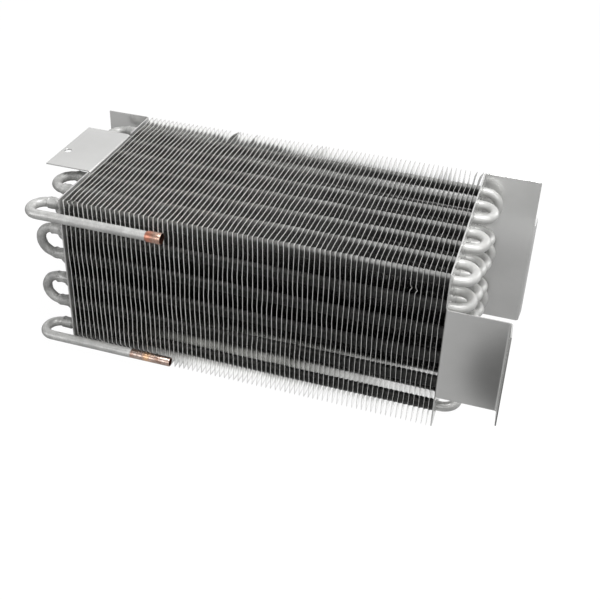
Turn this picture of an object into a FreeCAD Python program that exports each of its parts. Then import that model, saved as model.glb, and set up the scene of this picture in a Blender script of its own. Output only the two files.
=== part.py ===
import FreeCAD, Part
import math
import os
from FreeCAD import Vector

# Evaporator coil: a block of thin fins on forty-two tube runs, held by two folded end plates.
# X runs along the tubes, Y from the front face to the back and Z up, in millimetres.
# The coil is first drawn with the left plate's outer face at X 0 and the front edge at Y 0,
# and each piece is then moved so that the origin lies under the middle of the whole part.

# Block of fins
coil_length = 334.0
fin_count = 76
fin_thickness = 0.2

# Grid of tube runs, the same spacing across and down
tube_pitch = 25.4
tube_rows = 6
tube_columns = 7

# Tube, its belled left ends and its bends
tube_diameter = 8.4
tube_wall = 0.7
tube_clearance = 0.15
bell_diameter = 10.0
bell_length = 8.0
bell_taper = 1.5
joint_reach = 16.0
hairpin_stub = 3.5
tube_sides = 8
bend_steps = 6

# Suction and inlet lines, bent back along the front of the block
line_spacing = 22.0
suction_reach = 98.5
inlet_reach = 100.5
socket_length = 12.0
socket_taper = 2.0
socket_clearance = 0.1

# Folded sheet of the end plates
sheet_thickness = 1.2
fold_radius = 1.5
fold_relief = 2.0
fold_land = 2.0

# How far the cutter of a tube hole stands past each face of the sheet
cutter_overrun = 1.0

# Top tab and back flange of the left end plate
tab_start = 55.0
tab_width = 80.0
tab_reach = 42.5
tab_hole_diameter = 6.5
tab_hole_along = 29.0
tab_hole_inset = 6.0
left_flange_reach = 41.5

# Flanges and outer lips of the right end plate
right_flange_reach = 51.0
front_flange_bottom = 31.5
front_flange_height = 88.0
lip_width = 19.0
lip_lean = 4.0
back_lip_height = 106.0

# Sizes that follow from those above
coil_depth = tube_columns * tube_pitch
coil_height = tube_rows * tube_pitch
fin_pitch = (coil_length - sheet_thickness) / (fin_count + 1)
bend_radius = tube_pitch / 2
fold_zone = fold_radius + sheet_thickness
half_sheet = sheet_thickness / 2
socket_bore = tube_diameter + 2 * socket_clearance
socket_diameter = socket_bore + 2 * tube_wall


def column_y(column):
    """Distance of a tube column from the front edge; column 1 is the front one."""
    return (column - 0.5) * tube_pitch


def row_z(row):
    """Height of a tube row; row 1 is the top one."""
    return coil_height - (row - 0.5) * tube_pitch


def box(x0, x1, y0, y1, z0, z1):
    """Block between two corners."""
    return Part.makeBox(x1 - x0, y1 - y0, z1 - z0, Vector(x0, y0, z0))


def section_ring(centre, across, up, diameter, gap=0.0):
    """Corners of the tube's many-sided section, with the area of a round one."""
    turn = 2 * math.pi / tube_sides
    corner = diameter / 2 * math.sqrt(turn / math.sin(turn))
    corner += gap / math.cos(turn / 2)
    ring = []
    for side in range(tube_sides):
        angle = (side + 0.5) * turn
        ring.append(centre + across * (corner * math.cos(angle)) + up * (corner * math.sin(angle)))
    return ring


def flat_face(corners):
    """Plane face inside a closed chain of corners."""
    return Part.Face(Part.makePolygon(corners + [corners[0]]))


def solid_through(rings):
    """Closed solid whose flat sides join each ring of corners to the next."""
    faces = [flat_face(rings[0]), flat_face(rings[-1])]
    for ring, following in zip(rings, rings[1:]):
        for side in range(tube_sides):
            after = (side + 1) % tube_sides
            faces.append(flat_face([ring[side], ring[after], following[after], following[side]]))
    shell = Part.makeShell(faces)
    shell.sewShape()
    solid = Part.makeSolid(shell)
    if solid.Volume < 0:
        solid.reverse()
    return solid


def bend_rings(centre, outward, first_leg, up, radius, diameter):
    """Rings round half a turn, from the leg on the side of first_leg to the opposite one."""
    rings = []
    for step in range(bend_steps + 1):
        angle = math.pi * step / bend_steps
        across = first_leg * math.cos(angle) + outward * math.sin(angle)
        rings.append(section_ring(centre + across * radius, across, up, diameter))
    return rings


def leg_rings(leg_y, leg_z, across, up):
    """Rings of a leg's left end: mouth of the bell, its root and the plain tube."""
    bell_root = bell_length - joint_reach
    rings = []
    for x, diameter in ((-joint_reach, bell_diameter), (bell_root, bell_diameter),
                        (bell_root + bell_taper, tube_diameter)):
        rings.append(section_ring(Vector(x, leg_y, leg_z), across, up, diameter))
    return rings


def hairpin(first, second):
    """One tube through the whole block, bent back at the right end; each leg is (Y, Z)."""
    start = Vector(0, first[0], first[1])
    finish = Vector(0, second[0], second[1])
    across = (start - finish).normalize()
    up = Vector(1, 0, 0).cross(across)
    centre = (start + finish) / 2 + Vector(coil_length + hairpin_stub, 0, 0)
    rings = leg_rings(first[0], first[1], across, up)
    rings += bend_rings(centre, Vector(1, 0, 0), across, up, bend_radius, tube_diameter)
    rings += reversed(leg_rings(second[0], second[1], across * -1, up))
    return solid_through(rings)


def return_bend(first, second):
    """Half-turn bend brazed into the belled ends of two hairpins; each end is (Y, Z)."""
    start = Vector(-joint_reach, first[0], first[1])
    finish = Vector(-joint_reach, second[0], second[1])
    across = (start - finish).normalize()
    up = Vector(1, 0, 0).cross(across)
    centre = (start + finish) / 2
    return solid_through(bend_rings(centre, Vector(-1, 0, 0), across, up, bend_radius, tube_diameter))


def round_run(root, length, diameter, mouth_diameter=None):
    """Round rod along X, opened out to the diameter of a socket's mouth where one is given."""
    along = Vector(1, 0, 0)
    if mouth_diameter is None:
        return Part.makeCylinder(diameter / 2, length, root, along)
    shoulder = length - socket_length - socket_taper
    rod = Part.makeCylinder(diameter / 2, shoulder, root, along)
    flare = Part.makeCone(diameter / 2, mouth_diameter / 2, socket_taper,
                          root + along * shoulder, along)
    mouth = Part.makeCylinder(mouth_diameter / 2, socket_length,
                              root + along * (shoulder + socket_taper), along)
    return rod.fuse([flare, mouth])


def front_line(height, reach, outside_mouth=None, inside_mouth=None):
    """Line that turns back from the front tube and runs along the front face of the block."""
    run_y = column_y(1) - line_spacing
    centre = Vector(-joint_reach, (column_y(1) + run_y) / 2, height)
    bend = solid_through(bend_rings(centre, Vector(-1, 0, 0), Vector(0, 1, 0), Vector(0, 0, 1),
                                    line_spacing / 2, tube_diameter))
    root = Vector(-joint_reach, run_y, height)
    length = joint_reach + reach
    run = round_run(root, length, tube_diameter, outside_mouth)
    hollow = round_run(root, length, tube_diameter - 2 * tube_wall, inside_mouth)
    return run.cut(hollow).fuse(bend)


def folded_strip(route, depth):
    """Sheet folded along a route of points in one plane, with rounded folds, drawn out by depth."""
    way = Vector(depth).normalize()
    headings = [(end - begin).normalize() for begin, end in zip(route, route[1:])]
    lefts = [way.cross(heading) for heading in headings]
    edges = []
    ends = []
    for side in (half_sheet, -half_sheet):
        begin = route[0] + lefts[0] * side
        ends.append(begin)
        for fold in range(1, len(route) - 1):
            arriving = headings[fold - 1]
            leaving = headings[fold]
            turn = arriving.getAngle(leaving)
            turns_left = arriving.cross(leaving).dot(way) > 0
            is_inside = turns_left == (side > 0)
            radius = fold_radius if is_inside else fold_radius + sheet_thickness
            corner = route[fold] + (lefts[fold - 1] + lefts[fold]) * (side / (1 + math.cos(turn)))
            before = corner - arriving * (radius * math.tan(turn / 2))
            after = corner + leaving * (radius * math.tan(turn / 2))
            middle = corner + (leaving - arriving).normalize() * (radius / math.cos(turn / 2) - radius)
            edges.append(Part.makeLine(begin, before))
            edges.append(Part.Arc(before, middle, after).toShape())
            begin = after
        finish = route[-1] + lefts[-1] * side
        edges.append(Part.makeLine(begin, finish))
        ends.append(finish)
    edges.append(Part.makeLine(ends[0], ends[2]))
    edges.append(Part.makeLine(ends[1], ends[3]))
    outline = Part.Wire(Part.__sortEdges__(edges))
    return Part.Face(outline).extrude(depth)


def tube_holes(x0):
    """Cutters for the tube holes of an end plate whose left face is at x0."""
    across = Vector(0, 1, 0)
    up = Vector(0, 0, 1)
    cutters = []
    for row in range(1, tube_rows + 1):
        for column in range(1, tube_columns + 1):
            centre = Vector(x0 - cutter_overrun, column_y(column), row_z(row))
            ring = section_ring(centre, across, up, tube_diameter, tube_clearance)
            cutters.append(flat_face(ring).extrude(Vector(sheet_thickness + 2 * cutter_overrun, 0, 0)))
    return cutters


def fins():
    """The stack of plain fins, evenly spaced between the end plates."""
    stack = []
    for number in range(1, fin_count + 1):
        middle = half_sheet + number * fin_pitch
        stack.append(box(middle - fin_thickness / 2, middle + fin_thickness / 2,
                         0, coil_depth, 0, coil_height))
    return Part.makeCompound(stack)


def left_end_plate():
    """Tube sheet with a drilled tab folded out at its top and a flange folded out at its back."""
    web = box(0, sheet_thickness, 0, coil_depth, 0, coil_height)
    tab_finish = tab_start + tab_width
    tab_root = coil_height - fold_zone
    web = web.cut(box(0, sheet_thickness, tab_start - fold_relief, tab_finish + fold_relief,
                      tab_root, coil_height))
    web = web.cut(box(0, sheet_thickness, coil_depth - fold_zone, coil_depth, 0, coil_height))
    tab = folded_strip([Vector(half_sheet, tab_start, tab_root - fold_land),
                        Vector(half_sheet, tab_start, coil_height - half_sheet),
                        Vector(-tab_reach, tab_start, coil_height - half_sheet)],
                       Vector(0, tab_width, 0))
    flange = folded_strip([Vector(half_sheet, coil_depth - fold_zone - fold_land, 0),
                           Vector(half_sheet, coil_depth - half_sheet, 0),
                           Vector(-left_flange_reach, coil_depth - half_sheet, 0)],
                          Vector(0, 0, coil_height))
    hole = Part.makeCylinder(tab_hole_diameter / 2, sheet_thickness,
                             Vector(tab_hole_inset - tab_reach, tab_start + tab_hole_along,
                                    coil_height - sheet_thickness))
    return web.cut(tube_holes(0)).fuse([tab, flange]).cut(hole).removeSplitter()


def right_end_plate():
    """Tube sheet with a flange folded out at the front and back, each ending in an outer lip."""
    face = coil_length - sheet_thickness
    web = box(face, coil_length, 0, coil_depth, 0, coil_height)
    front_flange_top = front_flange_bottom + front_flange_height
    web = web.cut(box(face, coil_length, 0, fold_zone,
                      front_flange_bottom - fold_relief, front_flange_top + fold_relief))
    web = web.cut(box(face, coil_length, coil_depth - fold_zone, coil_depth, 0, coil_height))
    middle = coil_length - half_sheet
    outer = coil_length + right_flange_reach - half_sheet
    lean = math.radians(lip_lean)
    lip_out = lip_width * math.sin(lean)
    lip_along = lip_width * math.cos(lean)
    front = folded_strip([Vector(middle, fold_zone + fold_land, front_flange_bottom),
                          Vector(middle, half_sheet, front_flange_bottom),
                          Vector(outer, half_sheet, front_flange_bottom),
                          Vector(outer + lip_out, half_sheet - lip_along, front_flange_bottom)],
                         Vector(0, 0, front_flange_height))
    back_y = coil_depth - half_sheet
    back_root = coil_depth - fold_zone - fold_land
    back = folded_strip([Vector(middle, back_root, 0),
                         Vector(middle, back_y, 0),
                         Vector(outer, back_y, 0),
                         Vector(outer + lip_out, back_y + lip_along, 0)],
                        Vector(0, 0, back_lip_height))
    back_top = folded_strip([Vector(middle, back_root, back_lip_height),
                             Vector(middle, back_y, back_lip_height),
                             Vector(outer - fold_zone, back_y, back_lip_height)],
                            Vector(0, 0, coil_height - back_lip_height))
    return web.cut(tube_holes(face)).fuse([front, back, back_top]).removeSplitter()


def hairpins():
    """Hairpins of every row in pairs of columns, and of the back column in pairs of rows."""
    pieces = {}
    places = ("front", "middle", "rear")
    for row in range(1, tube_rows + 1):
        for pair, column in enumerate(range(1, tube_columns - 1, 2)):
            name = "hairpin_row_%d_%s" % (row, places[pair])
            pieces[name] = hairpin((column_y(column), row_z(row)), (column_y(column + 1), row_z(row)))
    for row in range(1, tube_rows, 2):
        name = "hairpin_back_rows_%d_%d" % (row, row + 1)
        last = column_y(tube_columns)
        pieces[name] = hairpin((last, row_z(row)), (last, row_z(row + 1)))
    return pieces


def return_bends():
    """Return bends of every row between the hairpins, and of the front column between rows."""
    pieces = {}
    places = ("front", "middle", "rear")
    for row in range(1, tube_rows + 1):
        for pair, column in enumerate(range(2, tube_columns, 2)):
            name = "return_bend_row_%d_%s" % (row, places[pair])
            pieces[name] = return_bend((column_y(column), row_z(row)), (column_y(column + 1), row_z(row)))
    for row in range(2, tube_rows - 1, 2):
        name = "return_bend_front_rows_%d_%d" % (row, row + 1)
        pieces[name] = return_bend((column_y(1), row_z(row)), (column_y(1), row_z(row + 1)))
    return pieces


def build():
    """All pieces by name, with the origin under the middle of the whole coil."""
    pieces = {"fins": fins(),
              "left_end_plate": left_end_plate(),
              "right_end_plate": right_end_plate(),
              "suction_line": front_line(row_z(1), suction_reach, socket_diameter, socket_bore),
              "inlet_line": front_line(row_z(tube_rows), inlet_reach)}
    pieces.update(hairpins())
    pieces.update(return_bends())
    reach = Part.makeCompound([pieces["left_end_plate"], pieces["right_end_plate"]]).BoundBox
    shift = Vector(-reach.Center.x, -reach.Center.y, 0)
    for piece in pieces.values():
        piece.translate(shift)
    return pieces


os.makedirs("parts", exist_ok=True)
for name, piece in build().items():
    piece.exportStep("parts/" + name + ".step")
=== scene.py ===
"""Evaporator coil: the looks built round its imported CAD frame, laid out as a Blender add-on."""
import math

import bmesh
import bpy
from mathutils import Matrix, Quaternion, Vector


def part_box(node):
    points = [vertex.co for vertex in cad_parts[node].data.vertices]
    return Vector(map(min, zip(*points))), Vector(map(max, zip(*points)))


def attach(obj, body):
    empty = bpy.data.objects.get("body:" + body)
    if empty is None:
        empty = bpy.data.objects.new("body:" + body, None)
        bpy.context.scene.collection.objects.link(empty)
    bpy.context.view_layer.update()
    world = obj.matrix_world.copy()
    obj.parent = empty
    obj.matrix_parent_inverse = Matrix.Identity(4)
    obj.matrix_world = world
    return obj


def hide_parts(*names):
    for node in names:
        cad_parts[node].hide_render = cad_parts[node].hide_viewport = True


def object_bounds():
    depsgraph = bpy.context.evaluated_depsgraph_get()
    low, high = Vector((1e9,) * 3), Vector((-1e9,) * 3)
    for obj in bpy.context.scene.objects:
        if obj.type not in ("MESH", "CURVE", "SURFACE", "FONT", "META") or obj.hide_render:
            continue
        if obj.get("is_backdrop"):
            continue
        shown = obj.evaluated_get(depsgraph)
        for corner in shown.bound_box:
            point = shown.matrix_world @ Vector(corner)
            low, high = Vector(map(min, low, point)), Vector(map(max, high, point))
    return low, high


bl_info = {
    "name": "Evaporator coil",
    "version": (1, 0, 0),
    "blender": (4, 5, 0),
    "location": "3D View > Sidebar > Coil",
    "description": "Models the fins, tubes, bends, lines and end plates of an evaporator coil",
    "category": "Object",
}

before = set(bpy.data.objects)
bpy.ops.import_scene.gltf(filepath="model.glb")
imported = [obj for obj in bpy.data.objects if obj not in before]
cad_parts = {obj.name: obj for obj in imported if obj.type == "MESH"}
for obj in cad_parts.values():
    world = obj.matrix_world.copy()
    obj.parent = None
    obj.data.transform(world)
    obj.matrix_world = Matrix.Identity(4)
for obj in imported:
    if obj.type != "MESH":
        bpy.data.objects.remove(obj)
CAD_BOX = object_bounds()

# Places taken from the frame, in metres
ROWS = 6
COLUMNS = 7
FIN_LOW, FIN_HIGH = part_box("fins")
LEFT_LOW, LEFT_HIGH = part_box("left_end_plate")
RIGHT_LOW, RIGHT_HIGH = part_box("right_end_plate")
FRONT = FIN_LOW.y
BACK = FIN_HIGH.y
DEPTH = BACK - FRONT
HEIGHT = FIN_HIGH.z
PITCH = DEPTH / COLUMNS

# The end plates: their sheet, their outer faces, and the notches beside their folds
SHEET = 0.0012
LEFT_FACE = LEFT_HIGH.x - SHEET
RIGHT_FACE = RIGHT_LOW.x + SHEET
NOTCH = 0.002
FOLD_RELIEF = 0.0027

# The tubes: where the bells' mouths stand, where the hairpins turn, how far the brazing has
# touched the hairpins, how far a bend or line reaches into its bell, and its braze fillet
JOINT_X = LEFT_FACE - 0.0160
BEND_X = RIGHT_FACE + 0.0035
BEND_RADIUS = PITCH / 2
JOINTS_END = LEFT_FACE - 0.0012
STUB = 0.0012
FILLET_DEGREES = (3.0, 4.0, 5.0)

# Distance within which points are merged
MERGE = 0.000002
# Turn that lays the axis of a disc or a rod along X
ALONG_X = (0, math.radians(90), 0)


def column_y(column):
    """Place of a tube column along Y; column 1 is the front one."""
    return FRONT + (column - 0.5) * PITCH


def row_z(row):
    """Height of a tube row; row 1 is the top one."""
    return HEIGHT - (row - 0.5) * PITCH


# The two lines run this far in front of the first column
LINE_SPACING = 0.022
LINE_Y = column_y(1) - LINE_SPACING


# Sizes and colours that a user would change

class CoilTubeSizes(bpy.types.PropertyGroup):
    """Sizes of the tubes, their belled ends and their bends"""
    diameter: bpy.props.FloatProperty(
        name="Tube diameter", description="Outside diameter of the tubes",
        default=0.0084, min=0.006, max=0.012, precision=4, unit="LENGTH")
    wall: bpy.props.FloatProperty(
        name="Tube wall", description="Wall thickness seen in the open ends of the lines",
        default=0.0007, min=0.0004, max=0.0012, precision=4, unit="LENGTH")
    bell_diameter: bpy.props.FloatProperty(
        name="Bell diameter", description="Outside diameter of the belled left ends",
        default=0.010, min=0.0086, max=0.013, precision=4, unit="LENGTH")
    bell_length: bpy.props.FloatProperty(
        name="Bell length", description="Length of the belled left ends",
        default=0.008, min=0.004, max=0.012, precision=4, unit="LENGTH")
    sides: bpy.props.IntProperty(
        name="Sides", description="Number of flat sides round a tube",
        default=28, min=12, max=48)
    bend_steps: bpy.props.IntProperty(
        name="Bend steps", description="Number of steps round half a turn",
        default=20, min=8, max=40)


class CoilFinSizes(bpy.types.PropertyGroup):
    """Sizes of the fins and how far they wave"""
    count: bpy.props.IntProperty(
        name="Fins", description="Number of fins", default=76, min=4, max=76)
    packs: bpy.props.IntProperty(
        name="Packs", description="Number of pieces that the stack is made in",
        default=4, min=1, max=4)
    thickness: bpy.props.FloatProperty(
        name="Fin thickness", description="Thickness of the fin strip",
        default=0.0003, min=0.0001, max=0.0005, precision=5, unit="LENGTH")
    collar: bpy.props.FloatProperty(
        name="Collar height", description="Height of the drawn collar round each tube",
        default=0.0036, min=0.001, max=0.0037, precision=4, unit="LENGTH")
    flare: bpy.props.FloatProperty(
        name="Collar flare", description="How much wider a collar is where it leaves the fin",
        default=1.2, min=1.0, max=1.5, precision=3)
    wave: bpy.props.FloatProperty(
        name="Wave", description="How far the free edges wave from flat",
        default=0.0026, min=0.0, max=0.003, precision=4, unit="LENGTH")


class CoilSheetSizes(bpy.types.PropertyGroup):
    """Sizes of the folded end plates"""
    fold_radius: bpy.props.FloatProperty(
        name="Fold radius", description="Radius at the middle of the sheet where it folds",
        default=0.0021, min=0.0007, max=0.004, precision=4, unit="LENGTH")
    lip_width: bpy.props.FloatProperty(
        name="Lip width", description="Width of the outer lips of the right plate",
        default=0.0185, min=0.005, max=0.0185, precision=4, unit="LENGTH")
    hole_clearance: bpy.props.FloatProperty(
        name="Hole clearance", description="Gap between a tube and its hole",
        default=0.0002, min=0.0001, max=0.0005, precision=4, unit="LENGTH")


class CoilColours(bpy.types.PropertyGroup):
    """Base colours of the finishes"""
    aluminium: bpy.props.FloatVectorProperty(
        name="Fin aluminium", description="Colour of the faces of the fins",
        default=(0.82, 0.82, 0.80, 1.0), size=4, min=0.0, max=1.0, subtype="COLOR")
    # Colour of the cut edges and of the painted lit strip of the faces beside them
    cut_edge_and_lit_strip: bpy.props.FloatVectorProperty(
        name="Cut edge", description="Colour of the bright cut edges of the fins",
        default=(0.72, 0.72, 0.70, 1.0), size=4, min=0.0, max=1.0, subtype="COLOR")
    sheet: bpy.props.FloatVectorProperty(
        name="Plate sheet", description="Colour of the end plates",
        default=(0.66, 0.66, 0.65, 1.0), size=4, min=0.0, max=1.0, subtype="COLOR")
    coat: bpy.props.FloatVectorProperty(
        name="Tube coat", description="Colour of the coating on the tubes",
        default=(0.62, 0.62, 0.605, 1.0), size=4, min=0.0, max=1.0, subtype="COLOR")
    dull_coat: bpy.props.FloatVectorProperty(
        name="Dull coat", description="Colour of the coating where it has dulled",
        default=(0.285, 0.285, 0.28, 1.0), size=4, min=0.0, max=1.0, subtype="COLOR")
    copper: bpy.props.FloatVectorProperty(
        name="Copper", description="Colour of the bare copper ends",
        default=(0.60, 0.36, 0.26, 1.0), size=4, min=0.0, max=1.0, subtype="COLOR")


# Helpers for modelling

def release():
    """Leave edit mode and deselect every object."""
    if bpy.context.object and bpy.context.object.mode != "OBJECT":
        bpy.ops.object.mode_set(mode="OBJECT")
    bpy.ops.object.select_all(action="DESELECT")


def hold(piece):
    """Select one object and make it the active one."""
    release()
    piece.select_set(True)
    bpy.context.view_layer.objects.active = piece


def edit(piece):
    """Open one object in edit mode."""
    hold(piece)
    bpy.ops.object.mode_set(mode="EDIT")


def added(name):
    """Name the object that a primitive operator has just added."""
    piece = bpy.context.object
    piece.name = name
    piece.data.name = name
    return piece


def pick(kind, passes):
    """Select only the vertices, edges or faces whose points all pass a test of place."""
    bpy.ops.mesh.select_mode(type=kind)
    bpy.ops.mesh.select_all(action="DESELECT")
    mesh = bpy.context.object.data
    shape = bmesh.from_edit_mesh(mesh)
    for part in {"VERT": shape.verts, "EDGE": shape.edges, "FACE": shape.faces}[kind]:
        points = [part.co] if kind == "VERT" else [corner.co for corner in part.verts]
        if all(passes(point) for point in points):
            part.select_set(True)
    bmesh.update_edit_mesh(mesh)


def extrude(shift):
    """Extrude what is selected by a shift."""
    bpy.ops.mesh.extrude_region_move(TRANSFORM_OT_translate={"value": shift})


def scale_about(centre, factors):
    """Scale what is selected about a centre."""
    bpy.ops.transform.resize(value=factors, center_override=centre)


def apply_modifier(piece, kind, **values):
    """Add a modifier with its values and apply it."""
    hold(piece)
    bpy.ops.object.modifier_add(type=kind)
    modifier = piece.modifiers[-1]
    for name, value in values.items():
        setattr(modifier, name, value)
    bpy.ops.object.modifier_apply(modifier=modifier.name)


def repeat(piece, count, step, merge=False):
    """Repeat a piece along a step with an array."""
    apply_modifier(piece, "ARRAY", count=count, use_relative_offset=False, use_constant_offset=True,
                   constant_offset_displace=step, use_merge_vertices=merge,
                   merge_threshold=MERGE)


def settle(piece):
    """Put an object's place and turn into its mesh."""
    hold(piece)
    bpy.ops.object.transform_apply(location=True, rotation=True, scale=True)


def copy_of(piece, name, shift=(0.0, 0.0, 0.0), turn=(0.0, 0.0, 0.0)):
    """Copy a piece with its own mesh, turned and then moved."""
    hold(piece)
    bpy.ops.object.duplicate(linked=False)
    copy = added(name)
    copy.rotation_euler = turn
    copy.location = shift
    settle(copy)
    return copy


def close_normals(piece):
    """Merge doubles and turn the faces outwards."""
    edit(piece)
    bpy.ops.mesh.select_all(action="SELECT")
    bpy.ops.mesh.remove_doubles(threshold=MERGE)
    bpy.ops.mesh.normals_make_consistent(inside=False)
    release()


def smooth(piece, degrees=35.0):
    """Shade smooth, apart from edges sharper than an angle."""
    hold(piece)
    bpy.ops.object.shade_smooth_by_angle(angle=math.radians(degrees))


def fit_out(piece, material, slot, *nodes):
    """Give a finished piece its material and body and hide the nodes that it replaces; its slot is
    not used.
    """
    if material is not None:
        piece.data.materials.clear()
        piece.data.materials.append(material)
    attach(piece, "root")
    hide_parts(*nodes)


def unevenness(name, scale, depth=2):
    """Cloud texture for a displacement."""
    texture = bpy.data.textures.new(name, type="CLOUDS")
    texture.noise_scale = scale
    texture.noise_depth = depth
    return texture


def mark(piece, group, passes):
    """Put the vertices that pass a test of place into a vertex group."""
    chosen = [vertex.index for vertex in piece.data.vertices if passes(vertex.co)]
    piece.vertex_groups.new(name=group).add(chosen, 1.0, "REPLACE")


def roughen(piece, texture, strength, part=""):
    """Uneven surface of a thick coat or a braze, over the whole piece or a vertex group."""
    apply_modifier(piece, "DISPLACE", texture=texture, texture_coords="GLOBAL", direction="NORMAL",
                   strength=strength, mid_level=0.5, vertex_group=part)


# Shader nodes

GROUPS = {}
FINISHES = {}


def wire(node, inputs):
    """Link or set a node's inputs from {input: output socket or plain value}."""
    for name, source in inputs.items():
        if isinstance(source, bpy.types.NodeSocket):
            node.id_data.links.new(source, node.inputs[name])
        else:
            node.inputs[name].default_value = source


def shaded(colour, factor):
    """Colour made darker by a factor."""
    return [channel * factor for channel in colour[:3]] + [1.0]


class Nodes:
    """Short ways to add nodes to the node tree of a material, a node group or the world."""

    def __init__(self, tree):
        self.tree = tree

    def add(self, kind, inputs=None, **values):
        """Add a node, set its values, and link or set its inputs."""
        node = self.tree.nodes.new(kind)
        for name, value in values.items():
            setattr(node, name, value)
        wire(node, inputs or {})
        return node

    def maths(self, operation, *sources):
        """Result of a maths node on one to three sockets or numbers."""
        return self.add("ShaderNodeMath", dict(enumerate(sources)), operation=operation).outputs[0]

    def times(self, first, second):
        """Product of two sockets or numbers."""
        return self.maths("MULTIPLY", first, second)

    def times_plus(self, value, factor, offset):
        """Value times a factor, plus an offset."""
        return self.maths("MULTIPLY_ADD", value, factor, offset)

    def without(self, mask):
        """One minus a mask."""
        return self.maths("SUBTRACT", 1.0, mask)

    def most(self, first, *others):
        """Largest of some masks."""
        for other in others:
            first = self.maths("MAXIMUM", first, other)
        return first

    def band(self, value, low, high, start=0.0, end=1.0):
        """Smooth step of a value, from start at low to end at high."""
        limits = {"Value": value, "From Min": low, "From Max": high, "To Min": start, "To Max": end}
        step = self.add("ShaderNodeMapRange", limits, interpolation_type="SMOOTHSTEP")
        return step.outputs["Result"]

    def fall(self, value, low, high):
        """Smooth step of a value, from 1 at low to 0 at high."""
        return self.band(value, low, high, 1.0, 0.0)

    def blend(self, mask, first, second):
        """Mix of two colours by a mask."""
        mix = self.add("ShaderNodeMix", {0: mask, 6: first, 7: second}, data_type="RGBA")
        return mix.outputs[2]

    def noise(self, vector, scale, detail=3.0, roughness=0.5):
        """Noise value at a scale."""
        return self.add("ShaderNodeTexNoise", {"Vector": vector, "Scale": scale, "Detail": detail,
                                               "Roughness": roughness}).outputs["Fac"]

    def stretched(self, vector, factors):
        """Vector scaled along each axis."""
        return self.add("ShaderNodeVectorMath", {0: vector, 1: factors},
                        operation="MULTIPLY").outputs[0]

    def axes(self, vector):
        """The x, y and z of a vector."""
        return self.add("ShaderNodeSeparateXYZ", {"Vector": vector}).outputs[:]

    def use(self, group, vector, **numbers):
        """Place a shared node group, its number inputs written with _; gives its outputs."""
        inputs = {label.replace("_", " "): number for label, number in numbers.items()}
        inputs["Vector"] = vector
        return self.add("ShaderNodeGroup", inputs, node_tree=GROUPS[group]).outputs


# Shared node groups

def new_group(name, numbers, outputs):
    """Node group with a Vector, number inputs {label: default} and number outputs.

    Gives the group, its nodes, the sockets that carry its inputs, and its output node.
    """
    group = bpy.data.node_groups.new(name, "ShaderNodeTree")
    group.interface.new_socket(name="Vector", in_out="INPUT", socket_type="NodeSocketVector")
    for label, default in numbers.items():
        number = group.interface.new_socket(name=label, in_out="INPUT",
                                            socket_type="NodeSocketFloat")
        number.default_value = default
    for label in outputs:
        group.interface.new_socket(name=label, in_out="OUTPUT", socket_type="NodeSocketFloat")
    nodes = Nodes(group)
    return group, nodes, nodes.add("NodeGroupInput").outputs, nodes.add("NodeGroupOutput")


def make_mottle_group():
    """Soft patches and fine speckles, as on a sprayed or dipped coat."""
    group, nodes, given, result = new_group(
        "mottle", {"Patch Scale": 60.0, "Speckle Scale": 700.0, "Speckle Share": 0.4},
        ("Mask", "Height"))
    patches = nodes.noise(given["Vector"], given["Patch Scale"], 4.0, 0.6)
    speckles = nodes.noise(given["Vector"], given["Speckle Scale"], 2.0, 0.6)
    share = given["Speckle Share"]
    mixed = nodes.maths("ADD", nodes.times(speckles, share),
                        nodes.times(patches, nodes.without(share)))
    wire(result, {"Mask": nodes.band(mixed, 0.36, 0.64), "Height": mixed})
    return group


def make_rolled_group():
    """Fine lines along the rolling direction and broad haze, as on mill-finished sheet."""
    group, nodes, given, result = new_group("rolled_lines", {"Haze Scale": 9.0}, ("Lines", "Haze"))
    drawn = nodes.stretched(given["Vector"], (60.0, 60.0, 2600.0))
    haze = nodes.noise(given["Vector"], given["Haze Scale"], 2.0, 0.45)
    wire(result, {"Lines": nodes.noise(drawn, 1.0, 2.0, 0.5), "Haze": nodes.band(haze, 0.35, 0.65)})
    return group


def make_edge_and_lit_strip_group():
    """Mask of the pale band along the cut edges of a fin block of a given size: the cut edges and,
    beside them, a painted lit strip of the faces.
    """
    group, nodes, given, result = new_group(
        "cut_edge_and_lit_strip", {"Half Depth": 0.09, "Height": 0.15, "Band": 0.0005}, ("Mask",))
    y, z = nodes.axes(given["Vector"])[1:]
    aside = nodes.maths("SUBTRACT", given["Half Depth"], nodes.maths("ABSOLUTE", y))
    above = nodes.maths("SUBTRACT", given["Height"], z)
    nearest = nodes.maths("MINIMUM", aside, nodes.maths("MINIMUM", above, z))
    uneven = nodes.times_plus(nodes.noise(given["Vector"], 900.0, 1.0), 1.2, 0.4)
    wire(result, {"Mask": nodes.maths("LESS_THAN", nearest, nodes.times(given["Band"], uneven))})
    return group


def make_heat_tint_group():
    """Mask of a ring of tint round a tube along X, with an uneven border."""
    group, nodes, given, result = new_group(
        "heat_tint", {"Centre X": 0.0, "Half Width": 0.004}, ("Mask",))
    x = nodes.axes(given["Vector"])[0]
    away = nodes.maths("ABSOLUTE", nodes.maths("SUBTRACT", x, given["Centre X"]))
    ragged = nodes.times_plus(nodes.noise(given["Vector"], 260.0, 3.0), 1.4, 0.3)
    share = nodes.maths("DIVIDE", away, nodes.times(given["Half Width"], ragged))
    wire(result, {"Mask": nodes.fall(share, 0.1, 1.7)})
    return group


# Finishes

def new_material(name, metallic, roughness, **sockets):
    """Material with a Principled shader, whose other sockets are written with _.

    Gives the material, its nodes, its shader and the object coordinates.
    """
    material = bpy.data.materials.new(name)
    material.use_nodes = True
    shader = material.node_tree.nodes["Principled BSDF"]
    wire(shader, {"Metallic": metallic, "Roughness": roughness})
    wire(shader, {label.replace("_", " "): value for label, value in sockets.items()})
    nodes = Nodes(material.node_tree)
    return material, nodes, shader, nodes.add("ShaderNodeTexCoord").outputs["Object"]


def add_bump(nodes, shader, height, distance, strength):
    """Bump from a height."""
    bump = nodes.add("ShaderNodeBump", {"Height": height, "Distance": distance,
                                        "Strength": strength})
    wire(shader, {"Normal": bump.outputs["Normal"]})


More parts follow.
